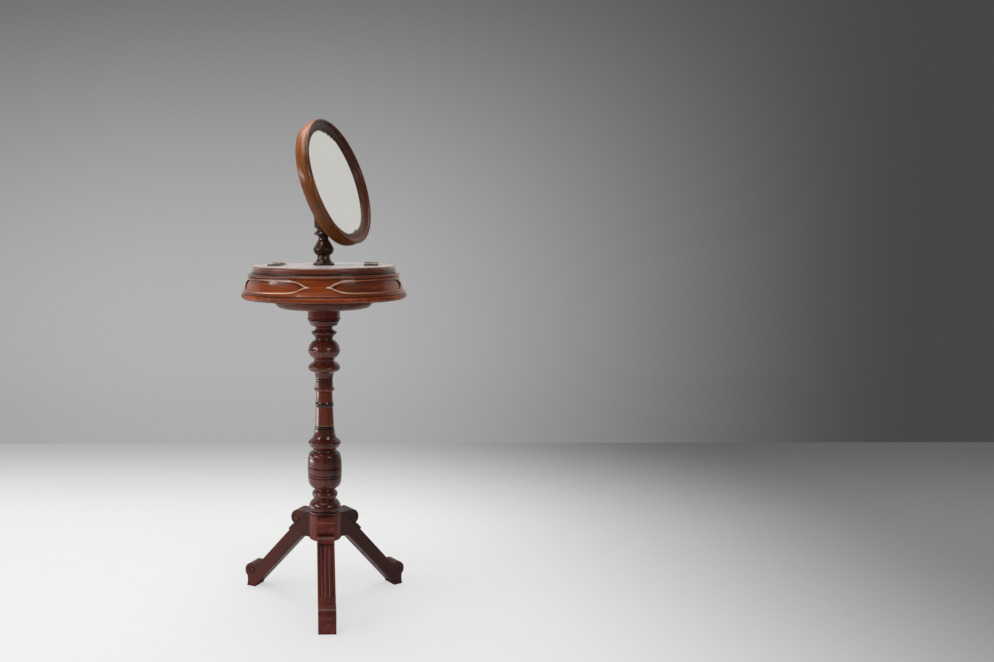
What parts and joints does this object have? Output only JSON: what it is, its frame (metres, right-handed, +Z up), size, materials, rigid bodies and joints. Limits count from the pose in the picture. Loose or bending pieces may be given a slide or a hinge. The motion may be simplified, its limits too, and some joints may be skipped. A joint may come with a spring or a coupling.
{
  "type": "vanity mirror stand",
  "caption": "Turned pedestal on scrolled tripod legs carrying a round table with hinged lids over two wells and a round tilting mirror on a rising post.",
  "frame": {"origin": "on the floor, where the axis of the column meets it", "axes": "+Z up along the column, -Y towards the front of the table (its lids open to front and rear), +X to the right seen from the front"},
  "size_m": [0.4869, 0.5019, 1.3869],
  "materials": {
    "mahogany": "french polished mahogany",
    "mirror_frame_wood": "french polished mahogany",
    "dark_wood": "dark polished wood",
    "backboard_wood": "stained softwood",
    "mirror": "aged silvered glass",
    "brass": "dulled brass",
    "dark_brass": "blackened brass",
    "steel": "drawn steel bar"
  },
  "bodies": {
    "stand": {"hub": "mahogany", "leg_front": "mahogany", "leg_right": "mahogany", "leg_left": "mahogany", "column": "mahogany", "mount_disc": "mahogany", "base_board": "mahogany", "frieze_ring": "mahogany", "well_wall_front": "mahogany", "well_wall_rear": "mahogany", "lid_bridge": "mahogany", "hinge_fixed_front_left": "dark_brass", "hinge_fixed_front_right": "dark_brass", "hinge_fixed_rear_left": "dark_brass", "hinge_fixed_rear_right": "dark_brass", "hinge_pin_front_left": "dark_brass", "hinge_pin_front_right": "dark_brass", "hinge_pin_rear_left": "dark_brass", "hinge_pin_rear_right": "dark_brass"},
    "lid_front": {"lid_front": "mahogany", "hinge_leaf_front_left": "dark_brass", "hinge_leaf_front_right": "dark_brass"},
    "lid_rear": {"lid_rear": "mahogany", "hinge_leaf_rear_left": "dark_brass", "hinge_leaf_rear_right": "dark_brass"},
    "lift_rod": {"lift_rod": "steel"},
    "mirror_post": {"mirror_post": "dark_wood", "tilt_pin": "brass"},
    "mirror": {"mirror_frame": "mirror_frame_wood", "mirror_glass": "mirror", "mirror_backboard": "backboard_wood", "tilt_knuckle": "brass"},
    "tilt_nut": {"tilt_nut": "brass"},
    "clamp_screw": {"clamp_screw": "brass"}
  },
  "joints": [
    {"name": "lid_front_hinge", "type": "hinge", "parent": "stand", "child": "lid_front", "pos_m": [0, -0.0425, 0.9826], "axis": [-1, 0, 0], "range_deg": [0, 38]},
    {"name": "lid_rear_hinge", "type": "hinge", "parent": "stand", "child": "lid_rear", "pos_m": [0, 0.0425, 0.9826], "axis": [1, 0, 0], "range_deg": [0, 38]},
    {"name": "lift", "type": "slide", "parent": "stand", "child": "lift_rod", "axis": [0, 0, 1], "range_m": [0, 0.24]},
    {"name": "mirror_swivel", "type": "hinge", "parent": "lift_rod", "child": "mirror_post", "pos_m": [0, 0, 0.979], "axis": [0, 0, 1], "continuous": true},
    {"name": "mirror_tilt", "type": "hinge", "parent": "mirror_post", "child": "mirror", "pos_m": [0, 0, 1.198], "axis": [-0.3551, -0.9348, 0], "range_deg": [-12, 35]},
    {"name": "tilt_nut_turn", "type": "hinge", "parent": "mirror_post", "child": "tilt_nut", "pos_m": [0, 0, 1.198], "axis": [0.3551, 0.9348, 0], "range_deg": [-90, 90]},
    {"name": "clamp_screw_turn", "type": "hinge", "parent": "stand", "child": "clamp_screw", "pos_m": [0, 0.05, 0.841], "axis": [0, 1, 0], "range_deg": [-90, 90]}
  ]
}
